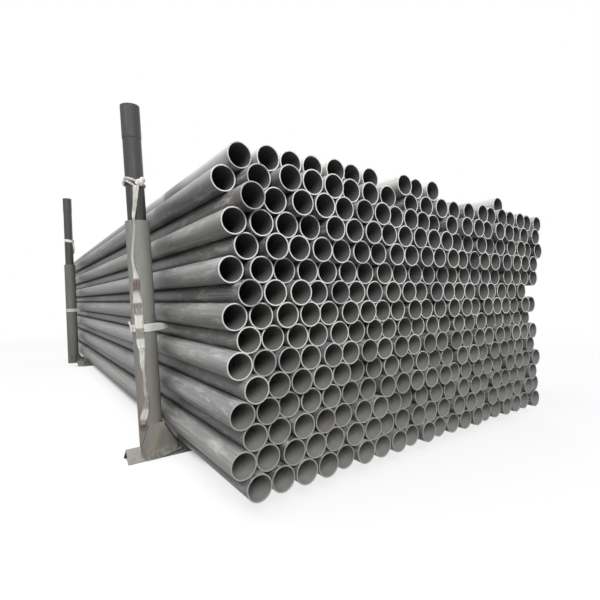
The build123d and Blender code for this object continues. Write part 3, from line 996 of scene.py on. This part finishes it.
class TUBES_OT_hanging_strip(bpy.types.Operator):
    """Hang the long strip from its knot on the near left stake"""

    bl_idname = "tube_stack.hanging_strip"
    bl_label = "Hanging strip"

    # Height along the post, middle in degrees round it, shown width, lift off the pipe
    route = (
        (1.440, -97, 0.034, 0.005),
        (1.390, -103, 0.028, 0.004),
        (1.333, -110, 0.024, 0.006),
        (1.290, -116, 0.020, 0.010),
        (1.253, -116, 0.013, 0.010),
        (1.225, -116, 0.012, 0.002),
        (1.185, -119, 0.011, 0.001),
        (1.140, -124, 0.010, 0.001),
        (1.100, -129, 0.011, 0.001),
        (1.050, -134, 0.011, 0.001),
        (0.990, -131, 0.012, 0.001),
        (0.955, -127, 0.024, 0.001),
        (0.935, -125, 0.033, 0.002),
        (0.900, -127, 0.038, 0.002),
        (0.860, -129, 0.040, 0.002),
        (0.835, -128, 0.043, 0.002),
        (0.800, -130, 0.058, 0.001),
        (0.750, -130, 0.060, 0.001),
        (0.720, -126, 0.050, 0.002),
        (0.680, -127, 0.050, 0.004),
        (0.650, -124, 0.047, 0.005),
        (0.610, -124, 0.047, 0.003),
        (0.570, -124, 0.046, 0.001),
        (0.545, -120, 0.037, 0.001),
        (0.500, -121, 0.031, 0.001),
        (0.463, -121, 0.025, 0.001),
        (0.435, -119, 0.015, 0.001),
        (0.380, -116, 0.014, 0.001),
        (0.325, -117, 0.014, 0.001),
        (0.297, -114, 0.018, 0.002),
        (0.270, -113, 0.022, 0.003),
        (0.240, -116, 0.029, 0.006),
        (0.205, -122, 0.038, 0.006),
        (0.170, -132, 0.044, 0.004),
        (0.150, -133, 0.034, 0.004),
        (0.134, -134, 0.024, 0.006),
    )
    # Height along the post, brown soil, green soil
    soiled = (
        (1.370, 0.00, 0.10),
        (1.350, 0.00, 0.50),
        (1.310, 0.00, 0.50),
        (1.290, 0.00, 0.10),
        (0.940, 0.00, 0.00),
        (0.925, 0.90, 0.10),
        (0.875, 0.90, 0.00),
        (0.855, 0.35, 0.00),
        (0.830, 0.00, 0.00),
        (0.806, 0.00, 0.00),
        (0.798, 0.75, 0.00),
        (0.742, 0.75, 0.00),
        (0.730, 0.10, 0.00),
        (0.668, 0.00, 0.00),
        (0.660, 0.40, 0.60),
        (0.642, 0.40, 0.70),
        (0.610, 0.00, 0.70),
        (0.602, 0.00, 0.00),
        (0.560, 0.00, 0.00),
        (0.555, 0.00, 0.50),
        (0.536, 0.00, 0.40),
        (0.520, 0.00, 0.10),
        # The green soil from 0.300 to 0.230 is partly a green stain and partly painted shade where the strip
        # twists
        (0.300, 0.05, 0.20),
        (0.280, 0.15, 0.60),
        (0.230, 0.15, 0.60),
        (0.215, 0.00, 0.05),
        (0.170, 0.00, 0.05),
        (0.155, 0.60, 0.30),
        (0.130, 0.70, 0.20),
    )
    # Name, height, degrees round the stake, lift off it, half sizes, folds, seed, soil
    knots = (
        ("stake_knot", 1.456, -75, 0.007, (0.021, 0.013, 0.020), 5, 3, CLEAN),
        ("stake_bow", 1.473, -60, 0.009, (0.017, 0.012, 0.016), 3, 4, CLEAN),
        ("stake_lump", 1.464, 170, 0.005, (0.016, 0.009, 0.021), 4, 5, (0.0, 0.5)),
    )
    # Name, middle height, tilt, shown width, degrees round the stake from and to; their
    # lift off the stake
    wraps = (
        ("upper_wrap", 1.466, 0.019, 0.015, (-66, 294)),
        ("lower_wrap", 1.433, 0.040, 0.015, (-255, -104)),
    )
    wrap_lift = 0.0012
    # Height over which the strip comes in from the sleeve's rim to the stake
    step_in = 0.05
    # Ripple across the strip: how high it stands, and in radians for each metre of height
    # how fast it swings and wanders
    ripple = 0.0016
    ripple_pace = (61, 23)

    def execute(self, context):
        look = settings().strips
        post = Post("near", "left")
        strip, run = self.strip(post, look)
        knots = [knot_piece(name, post, *row, look) for name, *row in self.knots]
        radius = post.stake_radius + self.wrap_lift
        for name, *row in self.wraps:
            wrap, flat = wrap_piece(name, post, radius, *row, look)
        return {"FINISHED"}

    def strip(self, post, look):
        """The strip along its route and its length, which is measured along its middle.

        The radius that it lies at goes from the stake's to the sleeve's on a smooth
        step above the rim. A fine ripple wanders across it with the height."""
        height = np.linspace(self.route[0][0], self.route[-1][0], 320)
        across = np.linspace(0, 1, 25)
        turn, shown, lift = smooth(self.route, height)
        shown = np.minimum(shown, look.width)
        rim = post.heights("near_left_sleeve").max()
        on_stake = np.clip((height - rim) / self.step_in, 0, 1)
        on_stake = on_stake**2 * (3 - 2 * on_stake)
        radius = post.sleeve_radius + (post.stake_radius - post.sleeve_radius) * on_stake + lift
        swing, wander = (pace * height[:, None] for pace in self.ripple_pace)
        ripple = np.abs(self.ripple * np.sin(swing) * np.sin(tau * across + wander))
        points = gathered(post, across, turn, height, radius, shown, look.width, 3, ripple)
        table = np.array(self.soiled)[::-1]
        soil = [np.interp(height, table[:, 0], amount)[:, None] for amount in table[:, 1:].T]
        run = run_along(points[:, len(across) // 2])
        width_map = across * look.width
        strip = sheet_piece("hanging_strip", points, width_map, run, soil, look, ["near_hanging_strip"])
        return strip, float(run[-1])


class TUBES_OT_ties(bpy.types.Operator):
    """Tie the strips round the left sleeves and the far stake"""

    bl_idname = "tube_stack.ties"
    bl_label = "Ties"

    # Cross ties: lift off the sleeve and green soil
    cross_ties = {"near": (0.0012, 0.0), "far": (0.0008, 0.3)}
    # Angle at which a cross tie leaves its sleeve, and how far it ran round it before
    leave = -60.0
    wound = 345.0
    # Cross tie: how much wider it is where it leaves, the share of its width that it loses
    # by its tip and on what power, how far its middle sinks with that, height of its folds
    tie_wider = 0.12
    tie_loss = 0.9
    tie_power = 2.6
    tie_sink = 0.15
    tie_fold = 0.0022
    # Loose end: angle round the sleeve, how far below the tie's middle it starts, how
    # high it stands, its shown width at the foot, the share of it that it loses by its
    # top, its lift off the sleeve at the foot, how far the top leans out, its flat size
    loose_turn = -172.0
    loose_below = 0.02
    loose_rise = 0.062
    loose_shown = 0.016
    loose_loss = 0.75
    loose_lift = 0.006
    loose_lean = 0.008
    loose_flat = (0.018, 0.063)
    # Far stake's wrap: tilt, shown width, degrees round the stake from and to
    far_wrap = (0.008, 0.034, (-35, 325))
    # Far stake's knot: degrees round the stake, lift off it, half sizes, folds, seed, soil
    far_knot = (-33, 0.009, (0.016, 0.01, 0.02), 4, 8, (0.5, 0.4))
    # Far stake's tail: its start below the wrap's middle, how far it falls, how much of the
    # strip's width it has, and at its head and foot its degrees and its shown width
    tail_below = 0.01
    tail_fall = 0.16
    tail_share = 0.8
    tail_turn = (-28, -34)
    tail_shown = (0.03, 0.018)

    def execute(self, context):
        look = settings().strips
        for place, (lift, green) in self.cross_ties.items():
            post = Post(place, "left")
            self.cross_tie(post, post.sleeve_radius + lift, green, look)
        self.loose_end(Post("near", "left"), look)
        self.far_stake_tie(Post("far", "left"), look)
        return {"FINISHED"}

    def cross_tie(self, post, radius, green, look):
        """A strip once round a sleeve, then straight on to the tubes.

        The path is most of a circle and then a straight line to the tip. The strip tapers
        from the point of leaving to its tip, and its middle sinks by a part of what the
        width loses."""
        node = f"{post.place}_cross_tie"
        local = corners(node) - post.base
        x, y, height = local @ post.across, local @ post.along, local @ post.up
        at_tip = x > x.max() - ON_EDGE
        tip = np.array([x.max(), y[at_tip].mean()])
        ring = height[x < 0]
        middle = (ring.min() + ring.max()) / 2
        climb = height[at_tip].mean() - middle
        turn = np.linspace(self.leave - self.wound, self.leave, 110)
        circle = radius * np.stack((np.cos(np.radians(turn)), np.sin(np.radians(turn))), axis=-1)
        outwards = np.linspace(0, 1, 40)[1:]
        path = np.vstack((circle, circle[-1] + np.multiply.outer(outwards, tip - circle[-1])))
        out = path / np.linalg.norm(path, axis=1)[:, None]
        along = np.concatenate((np.zeros(len(turn)), outwards))
        wider = 1 + self.tie_wider * np.cos(np.radians(turn - self.leave))
        width = (ring.max() - ring.min()) * wider
        width = np.concatenate((width, width[-1] * (1 - self.tie_loss * outwards**self.tie_power)))
        lost = np.where(along > 0, width[len(turn)] - width, 0)
        height = middle + climb * along - self.tie_sink * lost
        across = np.linspace(0, 1, 15)
        stand = self.tie_fold * np.sin(tau * 2 * across) ** 2 * (1 - 0.5 * along[:, None])
        flat = path[:, None, :] + out[:, None, :] * stand[:, :, None]
        points = post.points(flat[..., 0], flat[..., 1], height[:, None] + width[:, None] * (across - 0.5))
        run = run_along(path)
        name = f"{post.place}_sleeve_tie"
        piece = sheet_piece(name, points, across * width[:, None], run, (0.0, green), look, [node])
        float(np.sum((width[1:] + width[:-1]) / 2 * np.diff(run)))

    def loose_end(self, post, look):
        """The near cross tie's other end: a narrow strip that stands up from the tie, its
        width falling to a point and its top leaning away from the sleeve as the square
        of its height."""
        rise = np.linspace(0, 1, 24)
        across = np.linspace(0, 1, 9)
        height = post.middle("near_cross_tie") - self.loose_below + self.loose_rise * rise
        shown = self.loose_shown * (1 - self.loose_loss * rise**2)
        radius = post.sleeve_radius + self.loose_lift + self.loose_lean * rise**2
        turn = np.full(rise.shape, self.loose_turn)
        points = gathered(post, across, turn, height, radius, shown, self.loose_flat[0], 1)
        width_map = across * shown[:, None]
        piece = sheet_piece("near_loose_end", points, width_map, self.loose_rise * rise, CLEAN, look)

    def far_stake_tie(self, post, look):
        """A gathered turn round the far stake, its knot, and the tail that falls from it,
        narrowing and turning evenly, and lifting off the stake half way down."""
        node = "far_stake_tie"
        middle = post.middle(node)
        radius = post.stake_radius + 0.001
        wrap, flat = wrap_piece("far_stake_wrap", post, radius, middle, *self.far_wrap, look, [node])
        knot = knot_piece("far_stake_knot", post, middle, *self.far_knot, look)
        width = self.tail_share * look.width
        drop = np.linspace(0, 1, 60)
        across = np.linspace(0, 1, 13)
        height = middle - self.tail_below - self.tail_fall * drop
        reach = radius + 0.004 + 0.006 * np.sin(np.pi * drop) ** 2
        turn, shown = (np.interp(drop, (0, 1), ends) for ends in (self.tail_turn, self.tail_shown))
        points = gathered(post, across, turn, height, reach, shown, width, 2)
        soil = (0.9 * np.clip(2.4 * drop - 0.9, 0, 1)[:, None], 0.2)
        tail = sheet_piece("far_stake_tail", points, across * width, self.tail_fall * drop, soil, look)


class TUBES_OT_stage(bpy.types.Operator):
    """Set the floor, the lamps and the sky"""

    bl_idname = "tube_stack.stage"
    bl_label = "Stage"

    # Half the floor's side
    floor_half = 60.0
    # Lamps: place, target and size
    lamps = {
        "top": ((-4.0, -1.0, 8.2), (-1.0, -1.0, 0.6), 6.0),
        "key": ((-4.0, -10.0, 7.0), (-0.9, -2.5, 0.8), 5.0),
        "fill": ((8.0, 5.0, 4.0), (0.8, 0.5, 0.8), 5.0),
    }

    def execute(self, context):
        look = settings().stage
        context.scene.view_settings.view_transform = "Standard"
        self.floor(look)
        self.sky(look)
        for name, (place, target, size) in self.lamps.items():
            light = bpy.data.lights.new(f"{name}_lamp", "AREA")
            light.size = size
            light.energy = getattr(look, name)
            look_at(add_object(f"{name}_lamp", light), place, np.subtract(target, place), 0.0)
        return {"FINISHED"}

    def floor(self, look):
        """A wide square at floor level. In the view it goes part of the way to white near
        the stack, where it shows the shadow, and all the way further off. Where it is
        covered it stays as it is lit."""
        x = self.floor_half
        mesh = bpy.data.meshes.new("floor")
        mesh.from_pydata([(-x, -x, 0), (x, -x, 0), (x, x, 0), (-x, x, 0)], [], [(0, 1, 2, 3)])
        finish = Finish("floor_finish")
        mesh.materials.append(finish.material)
        seen = finish.seen()
        far_off = 1 - finish.near((0.0, 0.0, 0.0), look.shadow_reach)
        clear = look.floor_white + (1 - look.floor_white) * far_off
        clear = clear * (1 - self.covered(finish))
        finish.set(Base_Color=finish.mix(seen, look.floor, WHITE), Roughness=0.9)
        lit = Wire(finish, finish.shader.outputs[0])
        finish.whiten("ShaderNodeEmission", "Material Output", seen * clear, lit)
        add_object("floor", mesh)

    def covered(self, finish):
        """1 under the tubes, under the near base angle and, on the left, in a strip behind
        that angle. Past the far base angle the left border lies further out."""
        across, along = finish.axes("XY")
        low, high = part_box(ROWS[1])
        far_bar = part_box("far_base_angle")[1][1]
        further_out = along.fade(far_bar, far_bar + 0.2) * 0.1
        tubes = (across + further_out).fade(low[0] + 0.1, low[0] + 0.19)
        tubes = tubes * across.fade(high[0] - 0.1, high[0] - 0.19)
        tubes = tubes * along.within(low[1] + 0.5, high[1] - 0.1, 0.4, 0.2)
        behind = across.within(low[0] + 0.06, 0.0, 0.04, 0.1)
        low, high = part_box("near_base_angle")
        behind = behind * along.within(low[1], high[1] + 0.35, 0.01, 0.2)
        bar = across.within(low[0], high[0], 0.01, 0.01) * along.within(low[1], high[1], 0.01, 0.01)
        return (tubes + bar + behind).at_most(1)

    def sky(self, look):
        """White where it is seen, and the plain light's strength where it lights."""
        world = bpy.data.worlds.new("plain_sky")
        world.use_nodes = True
        bpy.context.scene.world = world
        nodes = Nodes(world.node_tree)
        light = nodes.node("ShaderNodeBackground", None, {"Color": (*WHITE, 1), "Strength": look.sky})
        nodes.whiten("ShaderNodeBackground", "World Output", nodes.seen(), light)


class TUBES_OT_camera(bpy.types.Operator):
    """Place the camera at the photograph's point of view"""

    bl_idname = "tube_stack.camera"
    bl_label = "Camera"

    def execute(self, context):
        look = settings().stage
        made = bpy.data.cameras.new("view_camera")
        made.lens = look.lens
        made.sensor_width = 36.0
        made.clip_start = 0.05
        made.clip_end = 400.0
        camera = add_object("view_camera", made)
        level = np.cos(look.tip)
        ahead = (np.sin(look.turn) * level, np.cos(look.turn) * level, np.sin(look.tip))
        look_at(camera, tuple(look.eye), ahead, look.roll)
        bpy.context.scene.camera = camera
        return {"FINISHED"}


class TUBES_PT_stack(bpy.types.Panel):
    """The stack's settings and steps"""

    bl_idname = "TUBES_PT_stack"
    bl_label = "Tube Stack"
    bl_space_type = "VIEW_3D"
    bl_region_type = "UI"
    bl_category = "Tube Stack"

    def draw(self, context):
        for group, steps in PANEL.items():
            box = self.layout.box()
            box.label(text=group.title())
            look = getattr(context.scene.tube_stack, group)
            for setting in look.bl_rna.properties.keys():
                if setting not in ("rna_type", "name"):
                    box.prop(look, setting)
            for step in steps:
                box.operator(step.bl_idname)


PANEL = {
    "stage": (TUBES_OT_camera, TUBES_OT_stage),
    "tubes": (TUBES_OT_rows,),
    "rack": (TUBES_OT_rack,),
    "strips": (TUBES_OT_hanging_strip, TUBES_OT_ties),
}
CLASSES = (
    TubeSettings,
    RackSettings,
    StripSettings,
    StageSettings,
    StackSettings,
    TUBES_OT_camera,
    TUBES_OT_stage,
    TUBES_OT_rows,
    TUBES_OT_rack,
    TUBES_OT_hanging_strip,
    TUBES_OT_ties,
    TUBES_PT_stack,
)


def register():
    for one in CLASSES:
        bpy.utils.register_class(one)
    bpy.types.Scene.tube_stack = PointerProperty(type=StackSettings)


def unregister():
    del bpy.types.Scene.tube_stack
    for one in reversed(CLASSES):
        bpy.utils.unregister_class(one)


def main():
    """Registers the add-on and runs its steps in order."""
    register()
    bpy.ops.tube_stack.camera()
    bpy.ops.tube_stack.stage()
    bpy.ops.tube_stack.rows()
    bpy.ops.tube_stack.rack()
    bpy.ops.tube_stack.hanging_strip()
    bpy.ops.tube_stack.ties()


if __name__ == "__main__":
    main()
